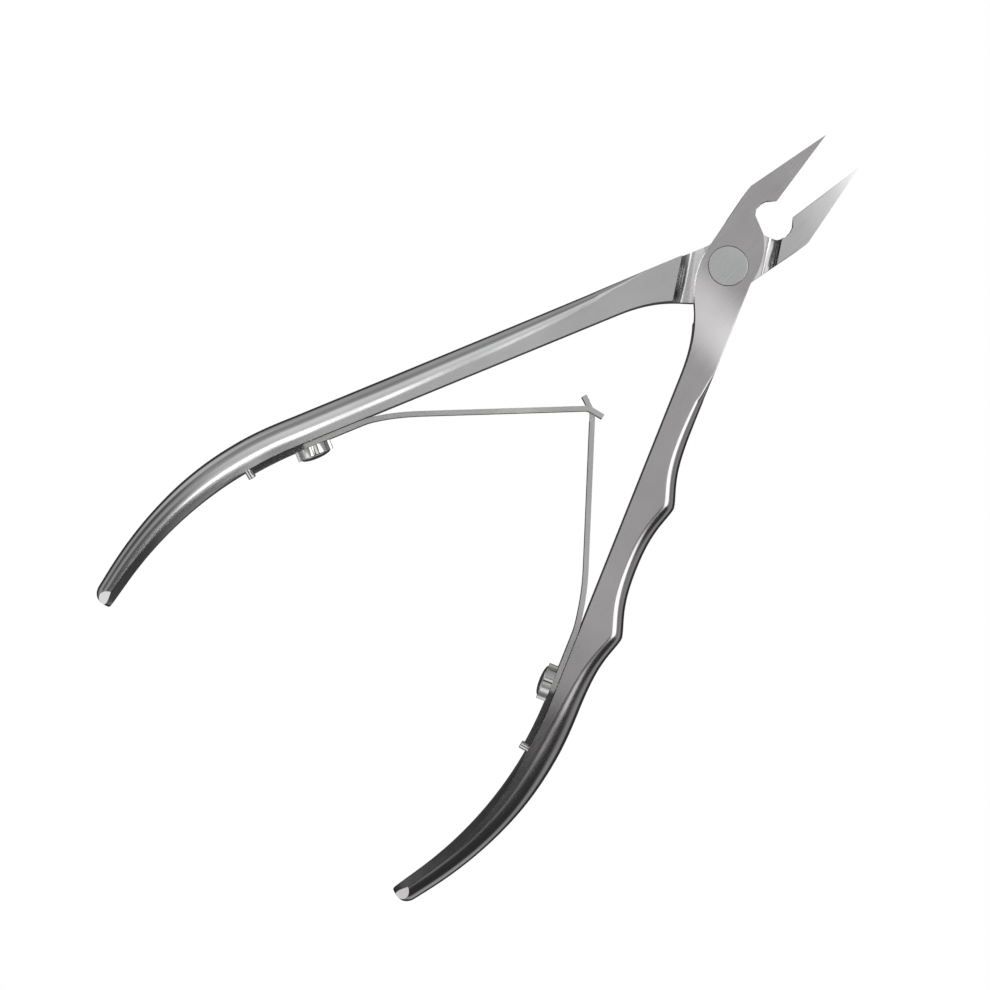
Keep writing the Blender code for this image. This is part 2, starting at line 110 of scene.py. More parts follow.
# Soft round panels and dark flags in front of the tent, each over the ones before it: angle from
# straight up, bearing from the view's right, the angles where it is full and gone, and level.
PANELS = ((6.0, -50.0, 3.5, 8.0, 0.66),
          (33.0, 118.0, 11.0, 17.0, 0.72),
          (54.0, 116.0, 7.0, 16.0, 0.85),
          (43.0, 157.0, 7.0, 15.0, 0.10),
          (82.0, 146.0, 7.0, 15.0, 0.08),
          (106.0, 130.0, 8.0, 18.0, 0.60),
          (20.0, 137.0, 5.0, 8.0, 2.8),
          (11.5, 144.0, 3.5, 6.5, 2.8),
          (26.0, 168.0, 5.0, 9.0, 0.06),
          (17.0, 198.0, 8.5, 12.0, 0.02),
          (15.0, 245.0, 10.0, 13.5, 0.02),
          (57.0, 226.0, 20.0, 28.0, 1.05),
          (62.0, -58.0, 24.0, 38.0, 0.04),
          (112.0, -64.0, 8.0, 18.0, 0.50),
          (42.0, 3.0, 18.0, 26.0, 2.1),
          (20.0, 30.0, 6.0, 10.0, 1.7),
          (116.0, 108.0, 12.0, 17.0, 0.42),
          (19.0, 298.0, 7.5, 12.0, 0.05),
          (14.0, 173.0, 4.5, 7.0, 0.05))

world = bpy.data.worlds.new("tent")
world.use_nodes = True
bpy.context.scene.world = world
tent = world.node_tree
tent.nodes.clear()
sky = add_node(tent, "ShaderNodeTexCoord")
sky_parts = add_node(tent, "ShaderNodeSeparateXYZ", {}, {0: sky.outputs["Generated"]})
height = add_node(tent, "ShaderNodeMapRange", {"From Min": -1.0, "From Max": 1.0},
                  {"Value": sky_parts.outputs["Z"]})
ramp = add_node(tent, "ShaderNodeValToRGB", {}, {"Fac": height.outputs[0]})
ramp.color_ramp.interpolation = "EASE"
while len(ramp.color_ramp.elements) < len(TENT_LEVELS):
    ramp.color_ramp.elements.new(0.5)
for element, (value, level) in zip(ramp.color_ramp.elements, TENT_LEVELS):
    element.position = (value + 1.0) / 2.0
    element.color = (level, level, level, 1.0)
light = ramp.outputs["Color"]
for off_top, bearing, full, gone, level in PANELS:
    off_top, bearing = math.radians(off_top), math.radians(bearing + VIEW_TURN)
    middle = Vector((math.sin(off_top) * math.cos(bearing), math.sin(off_top) * math.sin(bearing),
                     math.cos(off_top)))
    towards = add_node(tent, "ShaderNodeVectorMath", {"operation": "DOT_PRODUCT", 1: middle},
                       {0: sky.outputs["Generated"]})
    share = add_node(tent, "ShaderNodeMapRange",
                     {"interpolation_type": "SMOOTHSTEP", "From Min": math.cos(math.radians(gone)),
                      "From Max": math.cos(math.radians(full))}, {"Value": towards.outputs["Value"]})
    panel = add_node(tent, "ShaderNodeMix", {"data_type": "RGBA", COLOUR_B: (level, level, level, 1.0)},
                     {"Factor": share.outputs[0], COLOUR_A: light})
    light = panel.outputs[MIXED_COLOUR]
# The sheet's far edge runs into a plain white wall.
seen = add_node(tent, "ShaderNodeLightPath")
wall = add_node(tent, "ShaderNodeMix", {"data_type": "RGBA", COLOUR_B: (1.0, 1.0, 1.0, 1.0)},
                {"Factor": seen.outputs["Is Camera Ray"], COLOUR_A: light})
background = add_node(tent, "ShaderNodeBackground", {}, {"Color": wall.outputs[MIXED_COLOUR]})
add_node(tent, "ShaderNodeOutputWorld", {}, {"Surface": background.outputs[0]})

bm = bmesh.new()
bmesh.ops.create_grid(bm, x_segments=1, y_segments=1, size=SHEET_REACH * MM,
                      matrix=Matrix.Translation((VIEW_CENTRE[0] * MM, 0.0, -SHEET_DROP * MM)))
floor_mesh = bpy.data.meshes.new("floor")
bm.to_mesh(floor_mesh)
bm.free()
floor = bpy.data.objects.new("floor", floor_mesh)
bpy.context.scene.collection.objects.link(floor)
floor.visible_glossy = False
paper = bpy.data.materials.new("white_paper")
paper.use_nodes = True
paper.node_tree.nodes.clear()
glow = add_node(paper.node_tree, "ShaderNodeEmission", {"Color": (1.0, 1.0, 1.0, 1.0), "Strength": 1.0})
add_node(paper.node_tree, "ShaderNodeOutputMaterial", {}, {"Surface": glow.outputs[0]})
floor_mesh.materials.append(paper)

# ---------------------------------------------------------------- the two levers
# Forged stainless levers, machined flat on both sides, lapped over each other at the pivot
# and ground to a satin finish. The handles' outer edges are rounded by belt grinding.

THICKNESS = top_height / MM
MID = THICKNESS / 2              # height of the lap face
LAP_GAP = 0.06
RUN_GAP = 0.05                   # radial clearance of every pin, barrel and screw
SEAT_GAP = 0.05                  # between a clamped piece and the face that it sits on
SPARE = 1.0                      # how far a cutter runs past the face that it cuts

JAW_TIP = (21.86, -3.12)
JAW_TIP_WIDTH = 0.06
JAW_HEEL = (10.84, -1.53)
JAW_SHOULDER = ((9.9, -5.47), (8.6, -5.28))
JAW_WAIST = (-0.2, -3.6)
BEVEL_DEPTH = 2.4
BEVEL_SET_BACK = 1.4
BEVEL_OVERRUN = 1.7
JAW_TIP_THICKNESS = 1.6
JAW_TAPER_START = 7.5
JAW_TAPER_END = 24.0             # past the tip
JAW_TAPER_REACH = 12.0           # of its cutter, to each side
WINDOW = ((9.95, -2.5), (9.2, -2.78), (8.1, -2.7), (7.45, -2.2), (6.95, -0.9), (6.4, 0.45))

LAP_SKEW = 33.0
LAP_HALF_WIDTH = 6.42
LAP_RAMP = 1.6                   # from each cove's foot to the lap face
LAP_CUT_LENGTH = 40.0
COVE_RADIUS = 1.6
COVE_DIP = 0.12
COVE_STEPS = 14
PLATE_CORNER = (0.4, 3.88)
PLATE_TURNS = (128.0, 172.0)     # the plate edge's plan directions at its ends, in degrees
THROAT_TURNS = (169.0, 131.0)    # the throat's
CURVE_REACH = 0.36               # how firmly a curve holds its end directions
EDGE_STEPS = 14
THROAT_STEPS = 16

HANDLE_STRAIGHT = 47.3
HANDLE_BEND_RADIUS = 53.5
HANDLE_BEND = 32.3
HANDLE_LENGTH = 81.8
HANDLE_WIDTH = 4.0
HANDLE_SWELL = 0.15
SWELL_RUN = (46.0, 54.0)         # along the inner edge
NARROWING_START = 61.0
NARROWING = 0.066
NARROWING_EASE = 4.0
TIP_THICKNESS = 4.6
THINNING_START = 48.0
THINNING_END = HANDLE_LENGTH + 6.0
TIP_RADIUS = 1.6
TIP_ROUNDING = 0.9
TIP_NARROWING = 1.2
TIP_STEPS = 10
RING_SPACING = 0.45              # along the handle
FIRST_HANDLE_RING = 5            # nearer rings would cross the joint's last one

FLAT_SHARE = 0.2                 # of the width, left flat where the outer edge is fully round
FLAT_GUARD = 0.2                 # a row of vertices that keeps the flat's shading flat
MOST_OF_WIDTH = 0.97
ARC_STEPS = 14
LEAST_ROUND = 0.02
JAW_ROUND_SHARE = 0.2            # of the jaw's width
ROUND_LEAD = 8.0                 # the lower handle's rounding starts this far before it
ROUND_PLAN_GROWTH = 19.0
ROUND_HEIGHT_GROWTH = 12.0
BROKEN_EDGE = 0.18               # width of the broken edge on every ground corner
BROKEN_EDGE_STEPS = 3
SHARP_ABOVE = 34.0               # corners that turn more than this are broken
SMOOTH_BELOW = 14.0              # faces that meet at a smaller angle shade as one

REST_PLACES = (17.1, 36.2)
REST_HEIGHT = 1.76
REST_RUN = 3.9
REST_SHAPE = 1.45                # 1 makes each crest a point, and 2 makes it round
REST_EXTRA_WIDTH = 0.05
REST_ROUND_LEAD = 4.0
REST_ROUND_GROWTH = 6.0
REST_ROUND_PLAN = 1.8
REST_ROUND_HEIGHT = 2.3
REST_FULL_ROUND_RUN = (36.0, 54.0)

RELIEF_START = 55.6              # along the inner edge
RELIEF_RUN = 0.95
RELIEF_GROWTH = 7.0
RELIEF_SET_IN = 0.03
RELIEF_STEEPNESS = 2.1
RELIEF_STEPS = 60
FACET_RUN = 2.1                  # of the ground facet on each handle end
FACET_SLOPE = 0.56
FACET_AHEAD = 4.0                # how far its cutter reaches, towards the end
FACET_CUT_LENGTH = 16.0

GRAIN_SHARE = 0.22               # of the tone, and the rest drifts slowly
TONE_RANGE = (0.36, 0.64)        # the tone levels that give the dark and the light colour
DRIFT_LENGTH = 9.0
ROUGHNESS_SPREAD = 0.025
ROUGHNESS_RANGE = (0.3, 0.7)     # the grain levels that give the ends of the spread
GRAIN_DEPTH = 0.0001
WAVE_LENGTH = 13.0
WAVE_DEPTH = 0.3


class Lever(NamedTuple):
    """What tells one lever from the other."""
    name: str
    side: int
    start: tuple
    angle: float
    crotch: tuple
    has_rests: bool


LOWER = Lever("lower_lever", 1, (-15.0, 5.95), 22.75, (-7.3, 0.55), False)
UPPER = Lever("upper_lever", -1, (-15.0, 6.09), 23.1, (-7.12, 0.75), True)


def turn(point, degrees):
    """A plan vector turned about Z."""
    angle = math.radians(degrees)
    x, y = point
    return (x * math.cos(angle) - y * math.sin(angle), x * math.sin(angle) + y * math.cos(angle))


def smooth_run(start, start_angle, end, end_angle, steps):
    """Points of a smooth plan curve that leaves and arrives at the given directions."""
    start, end = Vector((*start, 0.0)), Vector((*end, 0.0))
    reach = (end - start).length * CURVE_REACH
    leave = start + Vector((*turn((reach, 0.0), start_angle), 0.0))
    arrive = end - Vector((*turn((reach, 0.0), end_angle), 0.0))
    return [tuple(p.xy) for p in geometry.interpolate_bezier(start, leave, arrive, end, steps + 1)]


def smoothstep(low, high, value):
    """0 below low, 1 above high, and an even S between them."""
    t = min(max((value - low) / (high - low), 0.0), 1.0)
    return t * t * (3.0 - 2.0 * t)


def loft(rings):
    """A closed solid through rings of points in mm, each with the same number of points."""
    bm = bmesh.new()
    start = bm.faces.new([bm.verts.new(Vector(point) * MM) for point in rings[0]])
    end = start
    for ring in rings[1:]:
        made = bmesh.ops.extrude_face_region(bm, geom=[end])["geom"]
        if end is not start:
            bmesh.ops.delete(bm, geom=[end], context="FACES_ONLY")
        end = next(part for part in made if isinstance(part, bmesh.types.BMFace))
        for vert, point in zip(end.verts, ring):
            vert.co = Vector(point) * MM
    bmesh.ops.recalc_face_normals(bm, faces=bm.faces[:])
    return bm


def add_piece(bm, name):
    """Puts the bmesh into the scene as a named object."""
    mesh = bpy.data.meshes.new(name)
    bm.to_mesh(mesh)
    bm.free()
    piece = bpy.data.objects.new(name, mesh)
    bpy.context.scene.collection.objects.link(piece)
    return piece


def bake_modifiers(piece):
    """Makes the shape that the modifiers give the piece's own mesh."""
    made = bpy.data.meshes.new_from_object(piece.evaluated_get(bpy.context.evaluated_depsgraph_get()))
    made.name = piece.name
    piece.modifiers.clear()
    piece.data = made


def machine(piece, cutters):
    """Takes each cutter's shape out of the piece, and throws the cutters away."""
    for cutter in cutters:
        modifier = piece.modifiers.new(cutter.name, "BOOLEAN")
        modifier.operation = "DIFFERENCE"
        modifier.solver = "EXACT"
        modifier.object = cutter
    bake_modifiers(piece)
    for cutter in cutters:
        bpy.data.objects.remove(cutter, do_unlink=True)


def shade(piece):
    """Smooth shading within each curved face, and a crisp line round each flat."""
    piece.data.shade_smooth()
    piece.data.set_sharp_from_angle(angle=math.radians(SMOOTH_BELOW))


def finish_edges(piece, width, material):
    """Breaks the piece's sharp corners, shades it, and gives it its material."""
    bevel = piece.modifiers.new("broken_edge", "BEVEL")
    bevel.width = width * MM
    bevel.segments = BROKEN_EDGE_STEPS
    bevel.limit_method = "ANGLE"
    bevel.angle_limit = math.radians(SHARP_ABOVE)
    bake_modifiers(piece)
    shade(piece)
    piece.data.materials.clear()
    piece.data.materials.append(material)


def handle_frame(lever, u):
    """The inner edge's plan point and the outward direction, u mm along the handle."""
    arc_end = HANDLE_STRAIGHT + HANDLE_BEND_RADIUS * math.radians(HANDLE_BEND)
    bent = min(max(u, HANDLE_STRAIGHT), arc_end) - HANDLE_STRAIGHT
    first = math.radians(lever.angle)
    angle = first - bent / HANDLE_BEND_RADIUS
    x = lever.start[0] - min(u, HANDLE_STRAIGHT) * math.cos(first)
    y = lever.start[1] + min(u, HANDLE_STRAIGHT) * math.sin(first)
    x -= HANDLE_BEND_RADIUS * (math.sin(first) - math.sin(angle))
    y += HANDLE_BEND_RADIUS * (math.cos(angle) - math.cos(first))
    past = max(u - arc_end, 0.0)
    x -= past * math.cos(angle)
    y += past * math.sin(angle)
    return (x, y), (math.sin(angle), math.cos(angle))


def finger_rest(u, place):
    """How far the finger rest at a place stands out, u mm along the handle."""
    return REST_HEIGHT * math.exp(-((abs(u - place) / REST_RUN) ** REST_SHAPE))


def handle_section(lever, u):
    """Width, half thickness, and the plan and height run of the outer rounding."""
    past = u - NARROWING_START
    width = HANDLE_WIDTH + HANDLE_SWELL * smoothstep(*SWELL_RUN, u)
    width -= NARROWING * (past + math.hypot(past, NARROWING_EASE)) / 2
    half = MID - (MID - TIP_THICKNESS / 2) * smoothstep(THINNING_START, THINNING_END, u)
    full_round = (1.0 - FLAT_SHARE) * width
    if lever.has_rests:
        width += REST_EXTRA_WIDTH + sum(finger_rest(u, place) for place in REST_PLACES)
        begun = 1.0 - math.exp(-max(u + REST_ROUND_LEAD, 0.0) / REST_ROUND_GROWTH)
        grown = smoothstep(*REST_FULL_ROUND_RUN, u)
        plan_run = REST_ROUND_PLAN * begun + (full_round - REST_ROUND_PLAN) * grown
        height_run = REST_ROUND_HEIGHT * begun + (half - REST_ROUND_HEIGHT) * grown
    else:
        begun = max(u + ROUND_LEAD, 0.0)
        plan_run = full_round * (1.0 - math.exp(-begun / ROUND_PLAN_GROWTH))
        height_run = half * (1.0 - math.exp(-begun / ROUND_HEIGHT_GROWTH))
    height_run = min(max(height_run, LEAST_ROUND), half - LEAST_ROUND)
    return width, half, max(plan_run, LEAST_ROUND), height_run


def lever_ring(inner, outer, half, plan_run, height_run):
    """One cross-section of a lever, between two plan points, as a ring of 3-D points."""
    inner, outer = Vector(inner), Vector(outer)
    across = (outer - inner).normalized()
    quarter = []
    for step in range(ARC_STEPS + 1):
        angle = math.radians(90.0 * step / ARC_STEPS)
        quarter.append((outer - across * plan_run * (1.0 - math.sin(angle)),
                        half - height_run * (1.0 - math.cos(angle))))
    flat_end = outer - across * min(plan_run + FLAT_GUARD, (outer - inner).length * MOST_OF_WIDTH)
    upper = [(inner, half), (flat_end, half)] + quarter
    lower = [(plan, -height) for plan, height in reversed(upper)]
    return [(plan.x, plan.y, MID + height) for plan, height in upper + lower]


def edge_height(points, x):
    """Y of a plan edge at x. The points run from the jaw to the handle."""
    for (x1, y1), (x0, y0) in zip(points, points[1:]):
        if x0 <= x <= x1:
            return y0 + (y1 - y0) * (x - x0) / max(x1 - x0, 1e-9)
    return points[0][1] if x > points[0][0] else points[-1][1]


def joint_edges(lever):
    """The lever's two plan edges from the jaw tip to the start of the handle."""
    start_outer = lever.start[1] + HANDLE_WIDTH / math.cos(math.radians(lever.angle))
    plate = smooth_run(WINDOW[-1], PLATE_TURNS[0], PLATE_CORNER, PLATE_TURNS[1], EDGE_STEPS)
    cutting = [JAW_TIP, JAW_HEEL, *WINDOW, *plate[1:], (lever.start[0], start_outer)]
    throat = smooth_run(JAW_WAIST, THROAT_TURNS[0], lever.crotch, THROAT_TURNS[1], THROAT_STEPS)
    root = smooth_run(lever.crotch, THROAT_TURNS[1], lever.start, 180.0 - lever.angle, EDGE_STEPS)
    back = [(JAW_TIP[0], JAW_TIP[1] - JAW_TIP_WIDTH), *JAW_SHOULDER, *throat, *root[1:]]
    return cutting, back


def lever_body(lever):
    """The forged lever before machining."""
    cutting, back = joint_edges(lever)
    places = sorted({round(x, 4) for x, _ in cutting + back}, reverse=True)
    rings = []
    for x in places:
        y_in, y_out = edge_height(back, x), edge_height(cutting, x)
        u = (lever.start[0] - x) / math.cos(math.radians(lever.angle))
        _, half, plan_run, height_run = handle_section(lever, u)
        if x > JAW_WAIST[0]:
            plan_run = height_run = min(LEAST_ROUND, (y_out - y_in) * JAW_ROUND_SHARE)
        rings.append(lever_ring((x, y_in), (x, y_out), half, plan_run, height_run))
    steps = round((HANDLE_LENGTH - TIP_RADIUS) / RING_SPACING)
    for step in range(FIRST_HANDLE_RING, steps + 1):
        u = (HANDLE_LENGTH - TIP_RADIUS) * step / steps
        (x, y), (out_x, out_y) = handle_frame(lever, u)
        width, half, plan_run, height_run = handle_section(lever, u)
        outer = (x + out_x * width, y + out_y * width)
        rings.append(lever_ring((x, y), outer, half, plan_run, height_run))
    for step in range(1, TIP_STEPS + 1):
        angle = math.radians(90.0 * step / TIP_STEPS)
        drop = 1.0 - math.cos(angle)
        u = HANDLE_LENGTH - TIP_RADIUS * (1.0 - math.sin(angle))
        (x, y), (out_x, out_y) = handle_frame(lever, u)
        width, half, plan_run, height_run = handle_section(lever, u)
        half -= TIP_ROUNDING * drop
        width -= TIP_NARROWING * drop
        outer = (x + out_x * width, y + out_y * width)
        plan_run = min(plan_run, (1.0 - FLAT_SHARE) * width)
        rings.append(lever_ring((x, y), outer, half, plan_run, min(height_run, half - LEAST_ROUND)))
    return add_piece(loft([[(x, y * lever.side, z) for x, y, z in ring] for ring in rings]),
                     lever.name + "_ground")


def relief_cutters(lever):
    """Grinds a widening chamfer along both inner edges of the handle, from the pin to the tip."""
    cutters = []
    for face in (1, -1):
        rings = []
        for step in range(RELIEF_STEPS + 1):
            u = RELIEF_START + (HANDLE_LENGTH + SPARE - RELIEF_START) * step / RELIEF_STEPS
            (x, y), (out_x, out_y) = handle_frame(lever, u)
            _, half, _, _ = handle_section(lever, u)
            past = HANDLE_LENGTH - TIP_RADIUS - u
            if past < 0.0:
                half -= TIP_ROUNDING * (1.0 - math.sqrt(max(1.0 - (past / TIP_RADIUS) ** 2, 0.0)))
            run = RELIEF_RUN * (1.0 - math.exp(-(u - RELIEF_START) / RELIEF_GROWTH)) - RELIEF_SET_IN
            beyond = SPARE / 2
            top = half + beyond * RELIEF_STEEPNESS
            slope = [(run + beyond, top), (-beyond, half - (run + beyond) * RELIEF_STEEPNESS), (-beyond, top)]
            rings.append([(x + out_x * across, (y + out_y * across) * lever.side, MID + face * height)
                          for across, height in slope])
        cutters.append(add_piece(loft(rings), "cutter"))
    return cutters


def prism(outline, place, direction, length):
    """A cutter: an outline of (across, height) points run along a plan direction."""
    along = Vector((*direction, 0.0)).normalized()
    across = Vector((-along.y, along.x, 0.0))
    base = Vector((*place, 0.0))
    rings = []
    for run in (-length / 2, length / 2):
        rings.append([base + along * run + across * c + Vector((0.0, 0.0, h)) for c, h in outline])
    return add_piece(loft(rings), "cutter")


def facet_cutters(lever):
    """Grinds a sloped facet on both faces of the handle's end."""
    u = HANDLE_LENGTH - FACET_RUN
    (x, y), (out_x, out_y) = handle_frame(lever, u)
    _, half, _, _ = handle_section(lever, u)
    top = half + 3 * SPARE
    slope = [(-SPARE, half + SPARE * FACET_SLOPE), (FACET_AHEAD, half - FACET_AHEAD * FACET_SLOPE),
             (FACET_AHEAD, top), (-SPARE, top)]
    return [prism([(ahead * lever.side, MID + face * height) for ahead, height in slope],
                  (x, y * lever.side), (out_x, out_y * lever.side), FACET_CUT_LENGTH)
            for face in (1, -1)]


def round_bar(rings, place=(0.0, 0.0, 0.0), axis=(0.0, 0.0, 1.0), segments=64):
    """A turned bar about an axis, from (radius, height) steps in mm, closed at both ends."""
    bm = bmesh.new()
    bottom, top = rings[0], rings[-1]
    profile = [bm.verts.new((0.0, 0.0, bottom[1] * MM))]
    profile += [bm.verts.new((radius * MM, 0.0, height * MM)) for radius, height in rings]
    profile.append(bm.verts.new((0.0, 0.0, top[1] * MM)))
    edges = [bm.edges.new(pair) for pair in zip(profile, profile[1:])]
    bmesh.ops.spin(bm, geom=profile + edges, cent=(0, 0, 0), axis=(0, 0, 1), angle=math.tau,
                   steps=segments, use_merge=True)
    bmesh.ops.remove_doubles(bm, verts=bm.verts[:], dist=1e-7)
    turned = Vector(axis).to_track_quat("Z", "Y").to_matrix().to_4x4()
    bmesh.ops.transform(bm, matrix=Matrix.Translation(Vector(place) * MM) @ turned, verts=bm.verts[:])
    bmesh.ops.recalc_face_normals(bm, faces=bm.faces[:])
    return bm


def lap_cutter(lever):
    """Mills the half lap, with a cove at each shoulder, from the lever's meeting side."""
    cove = []
    for step in range(COVE_STEPS + 1):
        angle = math.radians(90.0 * step / COVE_STEPS)
        cove.append((-LAP_HALF_WIDTH + COVE_RADIUS * (1.0 - math.cos(angle)),
                     COVE_RADIUS - COVE_DIP - COVE_RADIUS * math.sin(angle)))
    ramp_end = -LAP_HALF_WIDTH + COVE_RADIUS + LAP_RAMP
    left = [(-LAP_HALF_WIDTH, MID + SPARE), *cove, (ramp_end, -LAP_GAP / 2)]
    profile = left + [(-across, height) for across, height in reversed(left)]
    profile = [(across, MID + height * lever.side) for across, height in profile]
    return prism(profile, (0.0, 0.0), turn((1.0, 0.0), LAP_SKEW * lever.side), LAP_CUT_LENGTH)


def jaw_cutters(lever):
    """Grinds the wedge under the cutting edge and thins the jaw towards its tip."""
    tip = Vector((JAW_TIP[0], JAW_TIP[1] * lever.side))
    heel = Vector((JAW_HEEL[0], JAW_HEEL[1] * lever.side))
    edge = (tip - heel).normalized()
    lean = BEVEL_SET_BACK / BEVEL_DEPTH
    wedge = [(2 * SPARE, THICKNESS + SPARE), (lean, THICKNESS + SPARE),
             (-BEVEL_SET_BACK, THICKNESS - BEVEL_DEPTH), (-BEVEL_SET_BACK, -SPARE), (2 * SPARE, -SPARE)]
    wedge = [(across * lever.side, height) for across, height in wedge]
    length = (tip - heel).length + BEVEL_OVERRUN + 2 * SPARE
    place = heel + edge * (length / 2 - BEVEL_OVERRUN)
    slope = (THICKNESS - JAW_TIP_THICKNESS) / (JAW_TIP[0] - JAW_TAPER_START)
    under = [(JAW_TAPER_START - SPARE, -slope), (JAW_TAPER_END, slope * (JAW_TAPER_END - JAW_TAPER_START)),
             (JAW_TAPER_END, -3 * SPARE), (JAW_TAPER_START - SPARE, -3 * SPARE)]
    rings = [[(x, y, z) for x, z in under] for y in (-JAW_TAPER_REACH, JAW_TAPER_REACH)]
    return [prism(wedge, place, edge, length), add_piece(loft(rings), "cutter")]


def satin_steel(name, dark, light, roughness, grain_turn=0.0, grain=(5.0, 0.16), falls=()):
    """Ground stainless steel: an even, soft sheen with faint belt grain.

    The real grain is too fine to show, so it is drawn at the given length and width in mm.
    Each fall is where the belt leans the face: from and to X, shape, power, and drop.
    """
    material = bpy.data.materials.new(name)
    material.use_nodes = True
    tree = material.node_tree
    shader = tree.nodes["Principled BSDF"]
    shader.inputs["Metallic"].default_value = 1.0
    coords = add_node(tree, "ShaderNodeTexCoord")
    along = add_node(tree, "ShaderNodeMapping",
                     {"Rotation": (0.0, 0.0, math.radians(grain_turn)),
                      "Scale": (1 / (grain[0] * MM), 1 / (grain[1] * MM), 1 / (grain[1] * MM))},
                     {"Vector": coords.outputs["Object"]})
    lines = add_node(tree, "ShaderNodeTexNoise", {"Scale": 1.0, "Detail": 3.0, "Roughness": 0.6},
                     {"Vector": along.outputs[0]})
    drift = add_node(tree, "ShaderNodeTexNoise", {"Scale": 1 / (DRIFT_LENGTH * MM), "Detail": 2.0},
                     {"Vector": coords.outputs["Object"]})
    tone = add_node(tree, "ShaderNodeMix", {"data_type": "FLOAT", "Factor": GRAIN_SHARE},
                    {VALUE_A: drift.outputs[0], VALUE_B: lines.outputs[0]})
    ramp = add_node(tree, "ShaderNodeValToRGB", {}, {"Fac": tone.outputs[0]})
    for element, position, colour in zip(ramp.color_ramp.elements, TONE_RANGE, (dark, light)):
        element.position = position
        element.color = linear(colour)
    tree.links.new(ramp.outputs["Color"], shader.inputs["Base Color"])
    dull = add_node(tree, "ShaderNodeMapRange",
                    {"From Min": ROUGHNESS_RANGE[0], "From Max": ROUGHNESS_RANGE[1],
                     "To Min": roughness - ROUGHNESS_SPREAD, "To Max": roughness + ROUGHNESS_SPREAD},
                    {"Value": lines.outputs[0]})
    tree.links.new(dull.outputs[0], shader.inputs["Roughness"])
    bump = add_node(tree, "ShaderNodeBump", {"Distance": GRAIN_DEPTH * MM}, {"Height": lines.outputs[0]})
    waves = add_node(tree, "ShaderNodeTexNoise", {"Scale": 1 / (WAVE_LENGTH * MM), "Detail": 0.0},
                     {"Vector": coords.outputs["Object"]})
    bump = add_node(tree, "ShaderNodeBump", {"Distance": WAVE_DEPTH * MM},
                    {"Height": waves.outputs[0], "Normal": bump.outputs[0]})
    place = add_node(tree, "ShaderNodeSeparateXYZ", {}, {0: coords.outputs["Object"]})
    for low, high, shape, power, drop in falls:
        run = add_node(tree, "ShaderNodeMapRange",
                       {"interpolation_type": shape, "From Min": low * MM, "From Max": high * MM},
                       {"Value": place.outputs["X"]})
        fall = add_node(tree, "ShaderNodeMath", {"operation": "POWER", 1: power}, {0: run.outputs[0]})
        bump = add_node(tree, "ShaderNodeBump", {"Distance": drop * MM, "invert": True},
                        {"Height": fall.outputs[0], "Normal": bump.outputs[0]})
    tree.links.new(bump.outputs[0], shader.inputs["Normal"])
    return material


def on_handle(lever, u, off):
    """A point at mid height, off mm inside the handle's inner face and u mm along it."""
    (x, y), (out_x, out_y) = handle_frame(lever, u)
    return Vector((x - out_x * off, (y - out_y * off) * lever.side, MID))


def inward(lever, u):
    """The direction out of the handle's inner face, u mm along it."""
    return (on_handle(lever, u, 1.0) - on_handle(lever, u, 0.0)).normalized()


STUD_HEAD_RADIUS = 2.7
STUD_HEAD_DEPTH = 1.5
BARREL_RADIUS = 1.9
SCREW_HEAD_RADIUS = 2.7
SCREW_HEAD_DEPTH = 1.4
THUMB_PLACE = 45.5               # along the inner edge
THUMB_SHANK_RADIUS = 0.9
THUMB_HOLE_DEPTH = 2.3
PIN_PLACE = 54.9                 # along the inner edge
PIN_RADIUS = 0.55
PIN_DEPTH = 1.9

# Both levers are one steel. The upper lever's copy has a darker base colour than the lower's, which is
# painted shade for how the light falls on it.
lower_steel = satin_steel("satin_steel_lower", "d0d1d0", "d9dad9", 0.17, LOWER.angle,
                          falls=((7.0, 22.0, "LINEAR", 2, 0.5),))
upper_steel_painted_shade = satin_steel("satin_steel_upper", "c0bdbe", "c9c6c7", 0.17, -UPPER.angle,
                          falls=((-14.0, -0.5, "SMOOTHSTEP", 1, 0.72),))
for lever, steel in ((LOWER, lower_steel), (UPPER, upper_steel_painted_shade)):
    piece = lever_body(lever)
    if lever is LOWER:
        seat = (SCREW_HEAD_RADIUS, -SPARE, SCREW_HEAD_DEPTH + SEAT_GAP)
    else:
        seat = (STUD_HEAD_RADIUS, THICKNESS - STUD_HEAD_DEPTH - SEAT_GAP, THICKNESS + SPARE)
    holes = []
    for radius, low, high in ((BARREL_RADIUS, -SPARE, THICKNESS + SPARE), seat):
        holes.append(round_bar([(radius + RUN_GAP, low), (radius + RUN_GAP, high)]))
    for place, radius, depth in ((THUMB_PLACE, THUMB_SHANK_RADIUS, THUMB_HOLE_DEPTH),
                                 (PIN_PLACE, PIN_RADIUS, PIN_DEPTH)):
        holes.append(round_bar([(radius + RUN_GAP, -depth - SEAT_GAP), (radius + RUN_GAP, SPARE)],
                               on_handle(lever, place, 0.0), inward(lever, place), segments=32))
    holes = [add_piece(hole, "cutter") for hole in holes]
    machine(piece, [lap_cutter(lever), *jaw_cutters(lever), *holes])
    finish_edges(piece, BROKEN_EDGE, steel)
    machine(piece, relief_cutters(lever) + facet_cutters(lever))
    shade(piece)
    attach(piece, lever.name)
    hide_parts(lever.name)

# ---------------------------------------------------------------- pivot stud and screw
# A turned steel stud with a plain head, flush in the upper lever, runs through both levers.
# A slotted screw, flush underneath, threads into its barrel and holds the joint together.

SCREW_SHANK_RADIUS = 1.1
SCREW_SHANK_END = 4.7
THREAD_END = 5.0
SCREW_SLOT_WIDTH = 0.8
SCREW_SLOT_DEPTH = 0.7
SCREW_SLOT_TURN = 20.0
SCREW_SLOT_LENGTH = 8.0
STUD_EDGE = 0.07
SCREW_EDGE = 0.1

